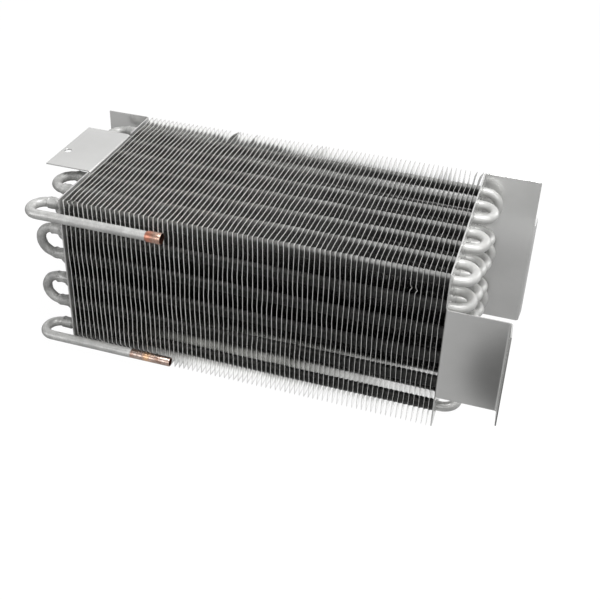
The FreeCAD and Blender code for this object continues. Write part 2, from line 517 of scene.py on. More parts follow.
def hole_distance(nodes, y, z):
    """Distance from a point of a fin to the middle of the nearest tube hole."""
    half = PITCH / 2
    across = nodes.maths("PINGPONG", nodes.maths("SUBTRACT", y, FRONT), half)
    across = nodes.maths("SUBTRACT", half, across)
    upward = nodes.maths("SUBTRACT", half, nodes.maths("PINGPONG", z, half))
    return nodes.maths("SQRT", nodes.times_plus(across, across, nodes.times(upward, upward)))


def fin_finish(colours):
    """Mirror-like faces with pale cut edges.

    Painted shade darkens the faces towards the right end, low in the gaps, round the tubes and
    under the top edge at the right; painted light makes their back ends, bottom edges and feet
    near white and most mirror-like. The cut edges are painted darker towards the right end and
    brighter along the front.
    """
    material, nodes, shader, where = new_material("fin_aluminium", 1.0, 0.2)
    edge = nodes.use("cut_edge_and_lit_strip", where, Half_Depth=DEPTH / 2, Height=HEIGHT, Band=0.0007)["Mask"]
    mottle = nodes.use("mottle", where, Patch_Scale=35.0)["Mask"]
    x, y, z = nodes.axes(where)
    # Painted shade: the faces are darkened towards the right end and low in the gaps, where the
    # block lies in shade
    rightward = nodes.band(x, -0.06, 0.15)
    deep = nodes.fall(z, HEIGHT - 0.06, HEIGHT - 0.01)
    painted_shade = nodes.most(rightward, deep)
    # Painted light: the back ends, the bottom edges away from the left and the lower front corners
    # are painted near white, to match the white seen through the block
    rear = nodes.band(y, BACK - 0.009, BACK - 0.004)
    low = nodes.times(nodes.fall(z, 0.003, 0.008), nodes.band(x, -0.1, -0.04))
    foot = nodes.times(nodes.fall(y, FRONT + 0.003, FRONT + 0.006), nodes.fall(z, 0.009, 0.012))
    ends = nodes.most(rear, low, foot)
    # Painted shade: a dark ring round each tube hole and a dark strip under the top edge towards
    # the right end, both also less mirror-like
    rim = nodes.times(nodes.band(z, HEIGHT - 0.014, HEIGHT - 0.007),
                      nodes.fall(y, BACK - 0.020, BACK - 0.012))
    painted_dark_zones = nodes.most(nodes.band(hole_distance(nodes, y, z), 0.0052, 0.0088, 0.75, 0.0),
                      nodes.times(rim, rightward))
    painted_dark_zones = nodes.times(painted_dark_zones, nodes.without(ends))

    face = nodes.blend(mottle, shaded(colours.aluminium, 0.8), colours.aluminium)
    for mask, shade in ((painted_shade, 0.74), (nodes.times(deep, rightward), 0.6), (painted_dark_zones, 0.16)):
        face = nodes.blend(mask, face, shaded(colours.aluminium, shade))
    face = nodes.blend(ends, face, (0.97, 0.97, 0.96, 1.0))
    # Painted shade and highlight: the cut edges are darkened towards the right end and painted
    # brighter along the front face
    cut = nodes.blend(rightward, colours.cut_edge_and_lit_strip, shaded(colours.cut_edge_and_lit_strip, 0.68))
    front_edge_highlight = nodes.blend(rightward, (0.98, 0.98, 0.96, 1.0), (0.84, 0.84, 0.82, 1.0))
    cut = nodes.blend(nodes.fall(y, FRONT + 0.0006, FRONT + 0.0012), cut, front_edge_highlight)

    # Share of metal: raised where shade and the bright ends are painted, lowered on the painted
    # dark zones
    clean = nodes.times_plus(nodes.most(painted_shade, ends), 0.075, 0.915)
    shiny = nodes.times(clean, nodes.times_plus(painted_dark_zones, -0.5, 1.0))
    grain = nodes.times_plus(mottle, 0.08, 0.13)
    wire(shader, {"Base Color": nodes.blend(edge, face, cut),
                  "Metallic": nodes.times(shiny, nodes.without(edge)),
                  "Roughness": nodes.times_plus(edge, 0.25, grain)})
    return material


def collar_finish(colours):
    """Drawn collars round the tubes: painted near black as shade, with painted top light on their
    upward faces, dimmer low towards the right end.
    """
    material, nodes, shader, where = new_material("collar_aluminium", 0.0, 0.5)
    mottle = nodes.use("mottle", where, Patch_Scale=120.0)["Mask"]
    facing = nodes.add("ShaderNodeNewGeometry").outputs["Normal"]
    upward = nodes.axes(facing)[2]
    x, _, z = nodes.axes(where)
    # Painted light and shade: the sides are near black as shade, the upward faces pale as if lit
    # from above, less so low towards the right end
    painted_shade_right_low = nodes.times(nodes.band(x, -0.06, 0.15), nodes.fall(z, HEIGHT - 0.03, HEIGHT - 0.015))
    painted_side_shade = nodes.blend(mottle, shaded(colours.aluminium, 0.02), shaded(colours.aluminium, 0.06))
    painted_top_light = nodes.blend(painted_shade_right_low, shaded(colours.aluminium, 0.5), shaded(colours.aluminium, 0.2))
    wire(shader, {"Base Color": nodes.blend(nodes.band(upward, 0.5, 1.0), painted_side_shade, painted_top_light),
                  "Roughness": nodes.times_plus(mottle, 0.15, 0.4)})
    return material


def sheet_finish(colours):
    """Matte mill-finished sheet with rolling lines and haze, and painted light on the upper part of
    the right back flange.
    """
    material, nodes, shader, where = new_material("end_plate_sheet", 0.6, 0.3)
    rolled = nodes.use("rolled", where, Haze_Scale=11.0)
    mottle = nodes.use("mottle", where, Patch_Scale=24.0, Speckle_Scale=1500.0, Speckle_Share=0.25)
    shade = nodes.maths("ADD", nodes.times(rolled["Haze"], 0.6), nodes.times(mottle["Mask"], 0.4))
    x, y, z = nodes.axes(where)
    # Painted light: the upper part of the right back flange is painted paler, standing in for
    # brighter reflections there
    rear = nodes.times(nodes.band(y, BACK - 0.012, BACK - 0.006),
                       nodes.band(x, RIGHT_FACE + 0.001, RIGHT_FACE + 0.012))
    painted_flange_light = nodes.times(rear, nodes.band(z, 0.06, 0.13))
    sheet = nodes.blend(shade, shaded(colours.sheet, 0.88), colours.sheet)
    wire(shader, {"Base Color": nodes.blend(painted_flange_light, sheet, (0.94, 0.94, 0.93, 1.0)),
                  "Roughness": nodes.times_plus(rolled["Lines"], 0.05, 0.2)})
    add_bump(nodes, shader, rolled["Lines"], 0.00003, 0.3)
    return material


def coat_finish(colours, name, dullness, roughness, gloss):
    """Sprayed coat over tube, more or less dulled and mottled."""
    material, nodes, shader, where = new_material(name, 0.2, roughness, Coat_Weight=gloss,
                                                  Coat_Roughness=0.12)
    mottle = nodes.use("mottle", where, Patch_Scale=90.0, Speckle_Scale=900.0, Speckle_Share=0.35)
    mask = nodes.times(mottle["Mask"], dullness)
    wire(shader, {"Base Color": nodes.blend(mask, colours.coat, colours.dull_coat),
                  "Roughness": nodes.times_plus(mottle["Mask"], 0.2, roughness - 0.06)})
    add_bump(nodes, shader, mottle["Height"], 0.0003, 0.25)
    return material


def copper_finish(colours, name, clean_share, tint_x, tint):
    """Bare copper: silvery where flux has cleaned it, tarnished elsewhere, and heat-tinted."""
    material, nodes, shader, where = new_material(name, 0.95, 0.3, Coat_Weight=0.5,
                                                  Coat_Roughness=0.1)
    mottle = nodes.use("mottle", where, Patch_Scale=170.0, Speckle_Scale=1100.0,
                       Speckle_Share=0.45)
    ring = nodes.use("heat_tint", where, Centre_X=tint_x, Half_Width=0.0035)["Mask"]
    spots = nodes.use("mottle", nodes.stretched(where, (1.7, 1.0, 1.0)), Patch_Scale=260.0,
                      Speckle_Scale=1600.0, Speckle_Share=0.3)["Mask"]
    silvery = (0.70, 0.62, 0.57)
    clean = [bare + (pale - bare) * clean_share
             for bare, pale in zip(colours.copper[:3], silvery)] + [1.0]
    aged = nodes.blend(mottle["Mask"], clean, (0.24, 0.15, 0.115, 1.0))
    patched = nodes.blend(nodes.times(spots, 0.35), aged, (0.58, 0.30, 0.20, 1.0))
    wire(shader, {"Base Color": nodes.blend(ring, patched, tint),
                  "Roughness": nodes.times_plus(mottle["Mask"], 0.2, 0.2)})
    add_bump(nodes, shader, mottle["Height"], 0.0003, 0.5)
    return material


def bore_finish():
    """Dark oxide inside the open ends."""
    material, nodes, shader, where = new_material("copper_bore", 0.0, 0.9, Specular_IOR_Level=0.1)
    wire(shader, {"Base Color": nodes.blend(nodes.noise(where, 400.0), (0.010, 0.003, 0.002, 1.0),
                                            (0.035, 0.012, 0.006, 1.0))})
    return material


def make_finishes(colours):
    """Build the node groups and the materials once."""
    GROUPS["mottle"] = make_mottle_group()
    GROUPS["rolled"] = make_rolled_group()
    GROUPS["cut_edge_and_lit_strip"] = make_edge_and_lit_strip_group()
    GROUPS["heat_tint"] = make_heat_tint_group()
    FINISHES["fin"] = fin_finish(colours)
    FINISHES["collar"] = collar_finish(colours)
    FINISHES["sheet"] = sheet_finish(colours)
    FINISHES["coat"] = coat_finish(colours, "glossy_coat", 0.25, 0.36, 0.5)
    FINISHES["line_coat"] = coat_finish(colours, "line_coat", 0.55, 0.34, 0.5)
    FINISHES["dull_coat"] = coat_finish(colours, "dull_coat", 0.85, 0.42, 0.25)
    FINISHES["suction_copper"] = copper_finish(colours, "suction_copper", 0.3,
                                               LEFT_FACE + 0.0875, (0.50, 0.20, 0.13, 1.0))
    FINISHES["inlet_copper"] = copper_finish(colours, "inlet_copper", 0.9, LEFT_FACE + 0.079,
                                             (0.80, 0.50, 0.30, 1.0))
    FINISHES["bore"] = bore_finish()


class COIL_OT_finishes(bpy.types.Operator):
    """Build the shader node groups and the materials"""
    bl_idname = "coil.finishes"
    bl_label = "Finishes"
    bl_options = {"REGISTER", "UNDO"}

    def execute(self, context):
        make_finishes(context.scene.coil_colours)
        return {"FINISHED"}


# Fins, numbered from the left; fin 1 is next to the left end plate

# Fins whose upper front corners are curled over
CURLED_TIPS = (2, 3)
# Nicks in front edges: fin, height of the nick
NICKED_EDGES = ((66, 0.131), (69, 0.133), (70, 0.134), (71, 0.132))
# Bent upper back corners: fin, lean to the right, painted dark as a dark reflection or not
BENT_TIPS = ((21, 0.0024, True), (22, 0.0015, False), (26, 0.0012, True), (40, 0.0015, False),
             (41, 0.0018, False), (42, 0.0015, False), (75, 0.0016, True), (76, 0.0026, True))


def inset(point):
    """How far a point of a fin is from the nearest edge of the fin."""
    return min(point.y - FRONT, BACK - point.y, point.z, HEIGHT - point.z)


def fin_cell(sizes, hole_radius):
    """One pitch of a fin: a square of strip round a hole with a drawn collar."""
    bpy.ops.mesh.primitive_grid_add(x_subdivisions=3, y_subdivisions=3, size=PITCH)
    cell = added("fin_cell")
    edit(cell)
    pick("VERT", lambda point: max(abs(point.x), abs(point.y)) < PITCH / 3)
    bpy.ops.mesh.delete(type="VERT")
    bpy.ops.mesh.select_all(action="DESELECT")
    flared = hole_radius * sizes.flare
    bpy.ops.mesh.primitive_circle_add(vertices=12, radius=flared,
                                      rotation=(0, 0, math.radians(15)))
    bpy.ops.mesh.select_mode(type="EDGE")
    bpy.ops.mesh.select_all(action="SELECT")
    bpy.ops.mesh.bridge_edge_loops()
    pick("EDGE", lambda point: point.length < flared * 1.05)
    half_way = (flared + hole_radius) / 2
    extrude((0, 0, sizes.collar * 0.3))
    scale_about((0, 0, 0), (half_way / flared, half_way / flared, 1))
    extrude((0, 0, sizes.collar * 0.7))
    scale_about((0, 0, 0), (hole_radius / half_way, hole_radius / half_way, 1))
    release()
    return cell


def one_fin(sizes, hole_radius):
    """A whole fin at the first place, with a vertex group that lets its free edges wave."""
    rim = 0.001
    fin = fin_cell(sizes, hole_radius)
    fin.rotation_euler = ALONG_X
    fin.location = (0, column_y(1), row_z(ROWS))
    settle(fin)
    repeat(fin, COLUMNS, (0, PITCH, 0), merge=True)
    repeat(fin, ROWS, (0, 0, PITCH), merge=True)
    free = fin.vertex_groups.new(name="free")
    for vertex in fin.data.vertices:
        free.add([vertex.index], 1.0 if inset(vertex.co) < rim else 0.22, "REPLACE")
    apply_modifier(fin, "SOLIDIFY", thickness=sizes.thickness, offset=0.0, use_even_offset=True,
                   use_rim=True)
    smooth(fin, 40)
    fin.data.materials.append(FINISHES["fin"])
    fin.data.materials.append(FINISHES["collar"])
    for face in fin.data.polygons:
        on_collar = inset(face.center) > rim and abs(face.normal.x) < 0.5
        face.material_index = 1 if on_collar else 0
    return fin


def refine(passes, cuts):
    """Divide the faces of the mesh in edit mode that pass a test of place."""
    pick("FACE", passes)
    bpy.ops.mesh.subdivide(number_cuts=cuts)


def knock(piece, spot, pull, reach):
    """Dent the edge of one fin at a spot."""
    spot = Vector(spot)
    own = 0.002
    edit(piece)
    refine(lambda point: abs(point.x - spot.x) < own and (point - spot).length < 0.0135, 4)
    pick("VERT", lambda point: abs(point.x - spot.x) < own and (point - spot).yz.length < 0.0005)
    bpy.ops.transform.translate(value=pull, use_proportional_edit=True,
                                proportional_edit_falloff="SMOOTH", proportional_size=reach,
                                use_proportional_connected=True)
    release()


def curl_tip(piece, x):
    """Lean the upper front corner of the fin at x to the right and turn its end back."""
    lean = 0.0012
    knock(piece, (x, FRONT, HEIGHT), (lean, 0, 0), 0.010)
    knock(piece, (x + lean, FRONT, HEIGHT), (-1.5 * lean, 0, -0.0004), 0.003)


def bend_tip(piece, x, lean, tarnished):
    """Bend the upper back corner of the fin at x; when tarnished is set, its tip takes the collar
    finish, a painted dark reflection.
    """
    knock(piece, (x, BACK, HEIGHT), (lean, 0, 0), 0.012)
    # Painted dark reflection: the faces of the bent tip take the near-black collar finish
    if tarnished:
        edit(piece)
        pick("FACE", lambda point: abs(point.x - x - lean / 2) < 0.0018 + lean / 2
             and point.y > BACK - 0.008 and point.z > HEIGHT - 0.010)
        piece.active_material_index = 1
        bpy.ops.object.material_slot_assign()
        release()


def ruffle_feet(piece, texture):
    """Crumple the lower front corners of a pack of fins."""
    edit(piece)
    foot = Vector((0, FRONT, 0))
    refine(lambda point: (point - foot).yz.length < 0.0185, 4)
    release()
    mark(piece, "foot", lambda point: point.y < FRONT + 0.0012 and point.z < 0.0115)
    apply_modifier(piece, "DISPLACE", texture=texture, texture_coords="GLOBAL", direction="X",
                   strength=0.012, mid_level=0.32, vertex_group="foot")


class COIL_OT_fins(bpy.types.Operator):
    """Add the stack of fins with their collars"""
    bl_idname = "coil.fins"
    bl_label = "Fins"
    bl_options = {"REGISTER", "UNDO"}

    def execute(self, context):
        sizes = context.scene.coil_fins
        tubes = context.scene.coil_tubes
        spacing = (RIGHT_FACE - SHEET - LEFT_FACE) / (sizes.count + 1)
        places = {number: LEFT_FACE + SHEET / 2 + number * spacing
                  for number in range(1, sizes.count + 1)}
        share = sizes.count // sizes.packs
        fin = one_fin(sizes, tubes.diameter / 2 + sizes.thickness / 2 + 0.00005)
        repeat(fin, share, (spacing, 0, 0))
        waves = unevenness("fin_waves", 0.034, 3)
        ruffles = unevenness("foot_ruffles", 0.0022, 1)
        for number in range(sizes.packs):
            own = range(number * share + 1, (number + 1) * share + 1)
            pack = copy_of(fin, "fin_pack_%d" % (number + 1), shift=(places[own[0]], 0, 0))
            apply_modifier(pack, "DISPLACE", texture=waves, texture_coords="GLOBAL",
                           direction="X", strength=sizes.wave, mid_level=0.5, vertex_group="free")
            if number == 0:
                ruffle_feet(pack, ruffles)
            for item in CURLED_TIPS:
                if item in own:
                    curl_tip(pack, places[item])
            for item, height in NICKED_EDGES:
                if item in own:
                    knock(pack, (places[item], FRONT, height), (0.0016, 0.0006, 0), 0.0028)
            for item, lean, tarnished in BENT_TIPS:
                if item in own:
                    bend_tip(pack, places[item], lean, tarnished)
            fit_out(pack, None, "fin_aluminium", "fins")
        bpy.data.objects.remove(fin)
        return {"FINISHED"}


# Tubes

class Tube:
    """A tube drawn from a disc: its piece, and its end ring's place, heading and radius."""

    def __init__(self, name, centre, heading, radius, sides):
        release()
        bpy.ops.mesh.primitive_circle_add(vertices=sides, radius=radius, fill_type="NGON",
                                          location=centre, rotation=ALONG_X)
        self.piece = added(name)
        settle(self.piece)
        edit(self.piece)
        bpy.ops.mesh.select_all(action="SELECT")
        self.centre = Vector(centre)
        self.heading = Vector(heading)
        self.radius = radius

    def grow(self, radius):
        """Scale the end ring to a radius."""
        factor = radius / self.radius
        scale_about(self.centre, (factor, factor, factor))
        self.radius = radius

    def run(self, length, radius=None):
        """Draw the tube straight on, to a radius."""
        extrude(self.heading * length)
        self.centre += self.heading * length
        if radius is not None:
            self.grow(radius)

    def bend(self, pivot, degrees, steps, radius=None):
        """Draw the tube round an upright axis through a pivot, to a radius."""
        pivot = Vector(pivot)
        angle = math.radians(degrees)
        bpy.ops.mesh.spin(steps=steps, angle=-angle, center=pivot, axis=(0, 0, 1))
        turn = Quaternion((0, 0, 1), angle)
        self.centre = pivot + turn @ (self.centre - pivot)
        self.heading = turn @ self.heading
        if radius is not None:
            self.grow(radius)

    def finished(self):
        """Leave edit mode and give the tube, closed and smooth."""
        release()
        close_normals(self.piece)
        smooth(self.piece, 50)
        return self.piece


def hairpin_pattern(sizes):
    """Hairpin in the XY plane, its legs half a pitch each side of Y 0 and belled at their ends."""
    plain = sizes.diameter / 2
    bell = sizes.bell_diameter / 2
    mouth = bell - 0.0001
    # Steps from the mouth to the plain tube: length, radius at the end of the step
    steps = [(0.0004, bell + 0.0002), (0.0008, bell)]
    steps += [((sizes.bell_length - 0.0012) / 5, bell)] * 5
    steps += [(0.0007, bell * 0.6 + plain * 0.4), (0.0008, plain)] + [(0.0014, plain)] * 4
    lengths = [length for length, radius in steps]
    radii = [mouth] + [radius for length, radius in steps]

    tube = Tube("hairpin_pattern", (JOINT_X, -BEND_RADIUS, 0), (1, 0, 0), mouth, sizes.sides)
    for length, radius in steps:
        tube.run(length, radius)
    tube.run(BEND_X - tube.centre.x)
    tube.bend((BEND_X, 0, 0), 180, sizes.bend_steps)
    tube.run(BEND_X - JOINT_X - sum(lengths))
    for length, radius in zip(reversed(lengths), reversed(radii[:-1])):
        tube.run(length, radius)
    return tube.finished()


def fillet_radii(sizes):
    """Radii of a braze fillet, from the mouth of its bell to the plain tube."""
    plain = sizes.diameter / 2
    bell = sizes.bell_diameter / 2
    return bell + 0.0001, bell - 0.0002, plain + 0.0003, plain


def leave_bell(tube, pivot, sizes):
    """Draw a tube out of a bell and, as its turn starts, through the braze fillet."""
    radii = fillet_radii(sizes)
    tube.run(STUB / 2, radii[0] - 0.0003)
    tube.run(STUB / 2, radii[0])
    for degrees, radius in zip(FILLET_DEGREES, radii[1:]):
        tube.bend(pivot, degrees, 1, radius)


def enter_bell(tube, pivot, sizes):
    """Draw the end of a turn through the braze fillet and into a bell."""
    radii = fillet_radii(sizes)
    for degrees, radius in zip(reversed(FILLET_DEGREES), reversed(radii[:-1])):
        tube.bend(pivot, degrees, 1, radius)
    tube.run(STUB / 2, radii[0] - 0.0003)
    tube.run(STUB / 2, radii[-1])


def return_bend_pattern(sizes):
    """Return bend in the XY plane that leaves two bells at X 0, brazed at both ends."""
    pivot = (0, 0, 0)
    tube = Tube("return_bend_pattern", (STUB, BEND_RADIUS, 0), (-1, 0, 0), sizes.diameter / 2,
                sizes.sides)
    leave_bell(tube, pivot, sizes)
    tube.bend(pivot, 180 - 2 * sum(FILLET_DEGREES), sizes.bend_steps)
    enter_bell(tube, pivot, sizes)
    return tube.finished()


def spread(pattern, x, first_column, upright_column, first_upright_row, name, upright_name):
    """Copies of a U-shaped pattern: three in each row, and upright ones in one column.

    Gives the node and the piece of each.
    """
    for row in range(1, ROWS + 1):
        for pair, place in enumerate(("front", "middle", "rear")):
            node = "%s_row_%d_%s" % (name, row, place)
            column = first_column + 2 * pair
            middle = (column_y(column) + column_y(column + 1)) / 2
            yield node, copy_of(pattern, node + "_tube", shift=(x, middle, row_z(row)))
    for row in range(first_upright_row, ROWS, 2):
        node = "%s_rows_%d_%d" % (upright_name, row, row + 1)
        middle = (row_z(row) + row_z(row + 1)) / 2
        yield node, copy_of(pattern, node + "_tube", shift=(x, column_y(upright_column), middle),
                            turn=(math.radians(90), 0, 0))


def dull_joints(piece):
    """Give the belled ends of a hairpin the dulled coat."""
    piece.data.materials.append(FINISHES["dull_coat"])
    for face in piece.data.polygons:
        if face.center.x < JOINTS_END:
            face.material_index = 1


class COIL_OT_hairpins(bpy.types.Operator):
    """Add the hairpins through the block, each copied from one pattern"""
    bl_idname = "coil.hairpins"
    bl_label = "Hairpins"
    bl_options = {"REGISTER", "UNDO"}

    def execute(self, context):
        pattern = hairpin_pattern(context.scene.coil_tubes)
        mark(pattern, "joints", lambda point: point.x < JOINTS_END)
        lumps = unevenness("coat_lumps", 0.006)
        spatter = unevenness("joint_spatter", 0.0034, 3)
        for node, piece in spread(pattern, 0, 1, COLUMNS, 1, "hairpin", "hairpin_back"):
            roughen(piece, lumps, 0.00012)
            roughen(piece, spatter, 0.0018, "joints")
            fit_out(piece, FINISHES["coat"], "coated_tube", node)
            dull_joints(piece)
        bpy.data.objects.remove(pattern)
        return {"FINISHED"}


class COIL_OT_return_bends(bpy.types.Operator):
    """Add the brazed return bends on the left, each copied from one pattern"""
    bl_idname = "coil.return_bends"
    bl_label = "Return bends"
    bl_options = {"REGISTER", "UNDO"}

    def execute(self, context):
        pattern = return_bend_pattern(context.scene.coil_tubes)
        lumps = unevenness("braze_lumps", 0.004)
        for node, piece in spread(pattern, JOINT_X, 2, 1, 2, "return_bend", "return_bend_front"):
            roughen(piece, lumps, 0.0007)
            fit_out(piece, FINISHES["dull_coat"], "coated_tube", node)
        bpy.data.objects.remove(pattern)
        return {"FINISHED"}


# Suction and inlet lines

def line_coat(name, sizes, height, coat_end):
    """Coated part of a line: out of the front bell, round and back along the front."""
    plain = sizes.diameter / 2
    pivot = (JOINT_X, column_y(1) - LINE_SPACING / 2, height)
    tube = Tube(name, (JOINT_X + STUB, column_y(1), height), (-1, 0, 0), plain, sizes.sides)
    leave_bell(tube, pivot, sizes)
    tube.bend(pivot, 180 - sum(FILLET_DEGREES), sizes.bend_steps)
    tube.run(coat_end - 0.0003 - tube.centre.x)
    tube.run(0.0003, plain - 0.0001)
    return tube.finished()


def line_mouth(name, sizes, height, coat_end, end_x, socket):
    """Bare copper end of a line, plain or opened out to a socket, with its open mouth."""
    plain = sizes.diameter / 2 - 0.00008
    outer = sizes.bell_diameter / 2 if socket else plain
    inner = outer - sizes.wall
    lip = 0.0002
    lip_round = 0.00012
    tube = Tube(name, (coat_end - 0.001, LINE_Y, height), (1, 0, 0), plain, sizes.sides)
    if socket:
        tube.run(end_x - 0.0140 - tube.centre.x)
        tube.run(0.0007, plain * 0.7 + outer * 0.3)
        tube.run(0.0007, plain * 0.3 + outer * 0.7)
        tube.run(0.0006, outer)
    tube.run(end_x - lip - tube.centre.x)
    tube.run(lip, outer - lip_round)
    bpy.ops.mesh.inset(thickness=sizes.wall - 2 * lip_round)
    tube.radius = inner + lip_round
    tube.heading.negate()
    tube.run(lip, inner)
    tube.run(0.0118)
    if socket:
        tube.run(0.0012, inner * 0.86)
    return tube.finished()


def darken_bore(mouth, height):
    """Give the faces of a line's copper end that look to its middle the bore's finish."""
    mouth.data.materials.append(FINISHES["bore"])
    for face in mouth.data.polygons:
        aside = face.center - Vector((face.center.x, LINE_Y, height))
        face.material_index = 1 if aside.dot(face.normal) < -0.000001 else 0


class COIL_OT_lines(bpy.types.Operator):
    """Add the suction and inlet lines with their bare copper ends"""
    bl_idname = "coil.lines"
    bl_label = "Suction and inlet lines"
    bl_options = {"REGISTER", "UNDO"}

    def execute(self, context):
        sizes = context.scene.coil_tubes
        lumps = unevenness("line_lumps", 0.008)
        for name, row, coat_length, finish, socket in (
                ("suction_line", 1, 0.0853, "suction_copper", True),
                ("inlet_line", ROWS, 0.063, "inlet_copper", False)):
            height = row_z(row)
            coat_end = LEFT_FACE + coat_length
            coat = line_coat(name + "_coated", sizes, height, coat_end)
            roughen(coat, lumps, 0.00025)
            fit_out(coat, FINISHES["line_coat"], "coated_tube", name)
            mouth = line_mouth(name + "_copper_end", sizes, height, coat_end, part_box(name)[1].x,
                               socket)
            fit_out(mouth, FINISHES[finish], "line_copper", name)
            darken_bore(mouth, height)
        return {"FINISHED"}


# End plates

def upright_sheet(name, x):
    """Flat sheet upright at x, as deep and tall as the block."""
    release()
    bpy.ops.mesh.primitive_plane_add(size=1, location=(x, 0, HEIGHT / 2), rotation=ALONG_X)
    sheet = added(name)
    sheet.scale = (HEIGHT, DEPTH, 1)
    settle(sheet)
    return sheet


def near(value, target):
    """True where a coordinate is at a place."""
    return abs(value - target) < 0.00002


def within(value, low, high):
    """True where a coordinate is between two places."""
    return low - 0.00001 < value < high + 0.00001


def score(axis, *places):
    """Cut the sheet in edit mode along planes across an axis."""
    normal = Vector([float(letter == axis) for letter in "xyz"])
    for place in places:
        bpy.ops.mesh.select_all(action="SELECT")
        bpy.ops.mesh.bisect(plane_co=normal * place, plane_no=normal)


def cut_away(low_y, high_y, low_z, high_z):
    """Delete the faces of the sheet in edit mode inside a window."""
    pick("FACE", lambda p: within(p.y, low_y, high_y) and within(p.z, low_z, high_z))
    bpy.ops.mesh.delete(type="FACE")


def fold(radius, passes):
    """Round the fold edges that pass a test."""
    pick("EDGE", passes)
    bpy.ops.mesh.bevel(offset=radius, segments=5, affect="EDGES", clamp_overlap=False)


def drill(piece, cutter):
    """Take a cutter out of a piece and remove the cutter."""
    apply_modifier(piece, "BOOLEAN", object=cutter, operation="DIFFERENCE", solver="EXACT")
    bpy.data.objects.remove(cutter)


def spread_over_tubes(piece):
    """Repeat a piece that stands at the lowest front tube at every tube."""
    repeat(piece, COLUMNS, (0, PITCH, 0))
    repeat(piece, ROWS, (0, 0, PITCH))


def thicken_and_drill(sheet, x, radius):
    """Give a folded sheet its thickness and its tube holes."""
    close_normals(sheet)
    apply_modifier(sheet, "SOLIDIFY", thickness=SHEET, offset=0.0, use_even_offset=True,
                   use_rim=True)
    release()
    bpy.ops.mesh.primitive_cylinder_add(vertices=28, radius=radius, depth=5 * SHEET,
                                        location=(x, column_y(1), row_z(ROWS)),
                                        rotation=ALONG_X)
    cutter = added("tube_hole_cutter")
    settle(cutter)
    spread_over_tubes(cutter)
    drill(sheet, cutter)


def finish_plate(plate, side, collar_x, collar_radius, collar_finish):
    """Ease a plate's sheared edges, add its raised collars and fit both out."""
    apply_modifier(plate, "BEVEL", width=0.00015, segments=1, limit_method="ANGLE",
                   angle_limit=math.radians(60), use_clamp_overlap=True)
    smooth(plate, 30)
    release()
    bpy.ops.mesh.primitive_torus_add(major_segments=28, minor_segments=8,
                                     major_radius=collar_radius, minor_radius=0.0006,
                                     location=(collar_x, column_y(1), row_z(ROWS)),
                                     rotation=ALONG_X)
    collars = added("%s_plate_collars" % side)
    settle(collars)
    smooth(collars, 60)
    spread_over_tubes(collars)
    for piece, finish in ((collars, collar_finish), (plate, FINISHES["sheet"])):
        fit_out(piece, finish, "end_plate_sheet", "%s_end_plate" % side)


class COIL_OT_left_plate(bpy.types.Operator):
    """Add the left end plate with its tab and back flange"""
    bl_idname = "coil.left_plate"
    bl_label = "Left end plate"
    bl_options = {"REGISTER", "UNDO"}

    def execute(self, context):
        sizes = context.scene.coil_sheets
        tube = context.scene.coil_tubes.diameter / 2
        mid = LEFT_FACE + SHEET / 2
        top = HEIGHT - SHEET / 2
        back = BACK - SHEET / 2
        tab_low = FRONT + 0.055
        tab_high = tab_low + 0.080
        tab_end = LEFT_LOW.x + 0.0001
        tab_hole = (LEFT_LOW.x + 0.006, tab_low + 0.029, top)
        flange_reach = 0.0415
        relief = HEIGHT - FOLD_RELIEF
        plate = upright_sheet("left_end_plate_sheet", mid)
        edit(plate)
        score("y", tab_low - NOTCH, tab_low, tab_high, tab_high + NOTCH, back)
        score("z", relief, top)
        cut_away(tab_low - NOTCH, tab_low, relief, HEIGHT)
        cut_away(tab_high, tab_high + NOTCH, relief, HEIGHT)
        cut_away(tab_low, tab_high, top, HEIGHT)
        cut_away(back, BACK, 0, HEIGHT)
        pick("EDGE", lambda p: near(p.z, top) and within(p.y, tab_low, tab_high))
        extrude((tab_end - mid, 0, 0))
        pick("EDGE", lambda p: near(p.y, back) and near(p.x, mid))
        extrude((-flange_reach - SHEET / 2, 0, 0))
        fold(sizes.fold_radius, lambda p: near(p.x, mid) and near(p.z, top)
             and within(p.y, tab_low, tab_high))
        fold(sizes.fold_radius, lambda p: near(p.x, mid) and near(p.y, back))
        thicken_and_drill(plate, mid, tube + sizes.hole_clearance)
        release()
        bpy.ops.mesh.primitive_cylinder_add(vertices=32, radius=0.00325, depth=5 * SHEET,
                                            location=tab_hole)
        drill(plate, added("tab_hole_cutter"))
        finish_plate(plate, "left", LEFT_FACE - 0.0001, tube + 0.0006, FINISHES["sheet"])
        return {"FINISHED"}


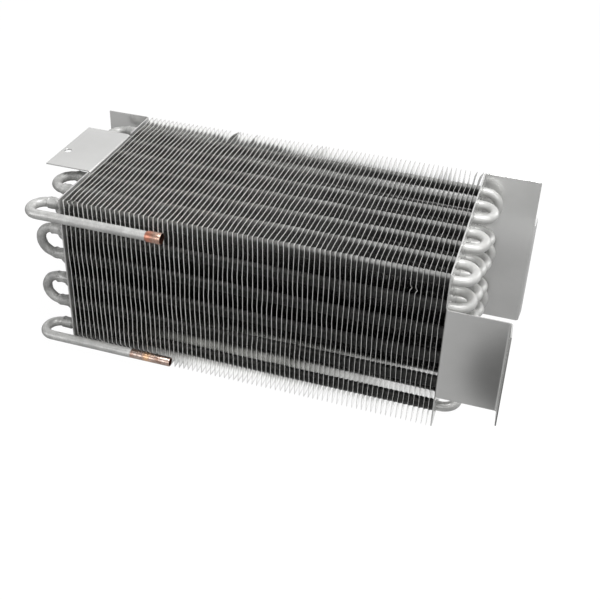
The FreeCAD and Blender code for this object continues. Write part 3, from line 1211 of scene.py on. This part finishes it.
class COIL_OT_right_plate(bpy.types.Operator):
    """Add the right end plate with its flanges and outer lips"""
    bl_idname = "coil.right_plate"
    bl_label = "Right end plate"
    bl_options = {"REGISTER", "UNDO"}

    def execute(self, context):
        sizes = context.scene.coil_sheets
        tube = context.scene.coil_tubes.diameter / 2
        mid = RIGHT_FACE - SHEET / 2
        front = FRONT + SHEET / 2
        back = BACK - SHEET / 2
        flange_reach = 0.051
        outer = RIGHT_FACE + flange_reach - SHEET / 2
        # Heights of the front flange's two ends and of the back lip's top
        low = 0.0315
        high = 0.1195
        lip_top = 0.106
        lip_lean = math.radians(4.0)
        lip = Vector((math.sin(lip_lean), math.cos(lip_lean), 0)) * sizes.lip_width
        relief = FRONT + FOLD_RELIEF
        plate = upright_sheet("right_end_plate_sheet", mid)
        edit(plate)
        score("y", front, relief, back)
        score("z", low - NOTCH, low, high, high + NOTCH, lip_top)
        cut_away(FRONT, relief, low - NOTCH, low)
        cut_away(FRONT, relief, high, high + NOTCH)
        cut_away(FRONT, front, low, high)
        cut_away(back, BACK, 0, HEIGHT)
        pick("EDGE", lambda p: near(p.y, front) and near(p.x, mid) and within(p.z, low, high))
        extrude((outer - mid, 0, 0))
        extrude((lip.x, -lip.y, 0))
        pick("EDGE", lambda p: near(p.y, back) and near(p.x, mid))
        extrude((outer - mid, 0, 0))
        pick("EDGE", lambda p: near(p.y, back) and near(p.x, outer) and within(p.z, 0, lip_top))
        extrude(lip)
        for x, y, bottom, top in ((mid, front, low, high), (outer, front, low, high),
                                  (mid, back, 0, HEIGHT), (outer, back, 0, lip_top)):
            fold(sizes.fold_radius, lambda p: near(p.x, x) and near(p.y, y)
                 and within(p.z, bottom, top))
        thicken_and_drill(plate, mid, tube + sizes.hole_clearance)
        finish_plate(plate, "right", RIGHT_FACE + 0.0001, tube + 0.0006, FINISHES["dull_coat"])
        return {"FINISHED"}


# Stage: floor, light and camera

def area_light(name, place, aim, size, power):
    """Square soft light at a place, turned to a point."""
    release()
    bpy.ops.object.light_add(type="AREA", location=place)
    light = bpy.context.object
    light.name = name
    light.data.size = size
    light.data.energy = power
    light.rotation_euler = (Vector(aim) - Vector(place)).to_track_quat("-Z", "Y").to_euler()


def rays(nodes):
    """Masks of the camera's rays, and of those off gloss or through glass."""
    path = nodes.add("ShaderNodeLightPath").outputs
    return path["Is Camera Ray"], nodes.most(path["Is Glossy Ray"], path["Is Transmission Ray"])


def white_world(strength):
    """World that is white to the camera; as a light it is bright behind and dim in front, and to
    reflections alone it adds a painted highlight strip low in front.
    """
    world = bpy.data.worlds.new("studio")
    bpy.context.scene.world = world
    world.use_nodes = True
    nodes = Nodes(world.node_tree)
    seen, mirrored = rays(nodes)
    _, y, z = nodes.axes(nodes.add("ShaderNodeTexCoord").outputs["Generated"])
    share = nodes.times_plus(mirrored, 1.0 - strength, strength)
    front = nodes.times(nodes.band(z, 0.0, 0.25, 0.1, 1.0), 0.35)
    backdrop = nodes.most(nodes.band(y, -0.35, 0.45, 0.06, 1.0), front)
    # Painted highlight: a bright band low in front, seen by reflections only, that lays a highlight
    # line along the tubes
    glow = nodes.times(nodes.band(z, 0.16, 0.28), nodes.band(z, 0.3, 0.75, 1.45, 0.4))
    glow = nodes.times(glow, nodes.fall(y, -0.5, -0.2))
    lighting = nodes.most(nodes.times(backdrop, share), nodes.times(glow, mirrored))
    wire(world.node_tree.nodes["Background"],
         {"Color": (1, 1, 1, 1), "Strength": nodes.most(seen, lighting)})


def floor_finish():
    """Pale floor, white to the camera but for a faint shadow; to reflections it glows in a painted
    pattern, brighter under the block, dimmer to the left, with a dark patch in front of the right
    end.
    """
    material, nodes, shader, where = new_material(
        "pale_floor", 0.0, 0.9, Base_Color=(0.26, 0.26, 0.26, 1), Specular_IOR_Level=0.0)
    seen, mirrored = rays(nodes)
    x, y, _ = nodes.axes(where)
    # Painted reflection: in reflections only, the floor glows brighter under the block, dimmer
    # towards its left end, and dark in a patch in front of the right end
    along = nodes.times(nodes.band(x, -0.11, -0.04, -0.45, 0.45), nodes.fall(x, 0.166, 0.18))
    open_floor = nodes.times_plus(nodes.band(y, -0.11, -0.08), along, 0.55)
    away = nodes.add("ShaderNodeVectorMath", {0: where, 1: (0.236, -0.19, 0.0)},
                     operation="DISTANCE").outputs["Value"]
    painted_reflection = nodes.times(open_floor, nodes.band(away, 0.058, 0.088))
    strength = nodes.times_plus(seen, 1.2, nodes.times(painted_reflection, mirrored))
    glow = nodes.add("ShaderNodeEmission", {"Color": (1, 1, 1, 1), "Strength": strength})
    mix = nodes.add("ShaderNodeMixShader", {0: nodes.times_plus(seen, 0.82, mirrored),
                                            1: shader.outputs[0], 2: glow.outputs[0]})
    wire(material.node_tree.nodes["Material Output"], {"Surface": mix.outputs[0]})
    return material


class COIL_OT_stage(bpy.types.Operator):
    """Add the floor, the lights, the world and the camera"""
    bl_idname = "coil.stage"
    bl_label = "Stage"
    bl_options = {"REGISTER", "UNDO"}

    def execute(self, context):
        release()
        bpy.ops.mesh.primitive_circle_add(vertices=64, radius=6, fill_type="NGON",
                                          location=(0, 0, -0.0002))
        floor = added("floor")
        settle(floor)
        floor.data.materials.append(floor_finish())
        floor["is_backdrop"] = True
        white_world(0.13)
        area_light("top_light", (0.32, -0.15, 1.3), (0.05, 0, 0.1), 0.7, 14.8)
        area_light("right_light", (1.3, -0.6, 0.95), (0, 0, 0.1), 0.9, 6.5)
        area_light("left_light", (-1.3, -1.0, 0.5), (0, 0, 0.1), 0.9, 6.5)
        area_light("front_light", (-0.2, -1.9, 0.8), (0, 0, 0.08), 1.2, 5.5)
        area_light("back_light", (1.0, 1.1, 0.7), (0.19, 0, 0.08), 0.6, 3)
        bpy.ops.object.camera_add(location=(0.22569, -0.71187, 0.55797),
                                  rotation=[math.radians(a) for a in (57.7937, -1.8764, 17.3096)])
        camera = context.object
        camera.name = "camera"
        camera.data.sensor_width = 36
        camera.data.lens = 58.425
        camera.data.shift_x = -0.00837
        camera.data.shift_y = -0.0835
        camera.data.clip_start = 0.01
        context.scene.camera = camera
        context.scene.view_settings.view_transform = "Standard"
        return {"FINISHED"}


OPERATORS = (COIL_OT_finishes, COIL_OT_fins, COIL_OT_hairpins, COIL_OT_return_bends, COIL_OT_lines,
             COIL_OT_left_plate, COIL_OT_right_plate, COIL_OT_stage)
PROPERTIES = (("coil_tubes", CoilTubeSizes), ("coil_fins", CoilFinSizes),
              ("coil_sheets", CoilSheetSizes), ("coil_colours", CoilColours))


class COIL_PT_panel(bpy.types.Panel):
    """Sidebar panel with the coil's operators and sizes"""
    bl_label = "Evaporator coil"
    bl_idname = "COIL_PT_panel"
    bl_space_type = "VIEW_3D"
    bl_region_type = "UI"
    bl_category = "Coil"

    def draw(self, context):
        for name, group in PROPERTIES:
            column = self.layout.column(align=True)
            settings = getattr(context.scene, name)
            for label in group.__annotations__:
                column.prop(settings, label)
        for operator in OPERATORS:
            self.layout.operator(operator.bl_idname)


def register():
    """Register the classes and hang the settings on the scene."""
    for name, group in PROPERTIES:
        bpy.utils.register_class(group)
        setattr(bpy.types.Scene, name, bpy.props.PointerProperty(type=group))
    for item in OPERATORS + (COIL_PT_panel,):
        bpy.utils.register_class(item)


def unregister():
    """Take the classes and the settings away again."""
    for item in reversed(OPERATORS + (COIL_PT_panel,)):
        bpy.utils.unregister_class(item)
    for name, group in reversed(PROPERTIES):
        delattr(bpy.types.Scene, name)
        bpy.utils.unregister_class(group)


def plain(box):
    """Box as plain lists of numbers."""
    return [[round(value, 6) for value in corner] for corner in box]


def main():
    """Build everything in order."""
    register()
    for operator in OPERATORS:
        group, name = operator.bl_idname.split(".")
        result = getattr(getattr(bpy.ops, group), name)()
        if result != {"FINISHED"}:
            raise RuntimeError("%s did not finish" % operator.bl_idname)
    release()
    {"cad": plain(CAD_BOX), "visual": plain(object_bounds())}


if __name__ == "__main__":
    main()
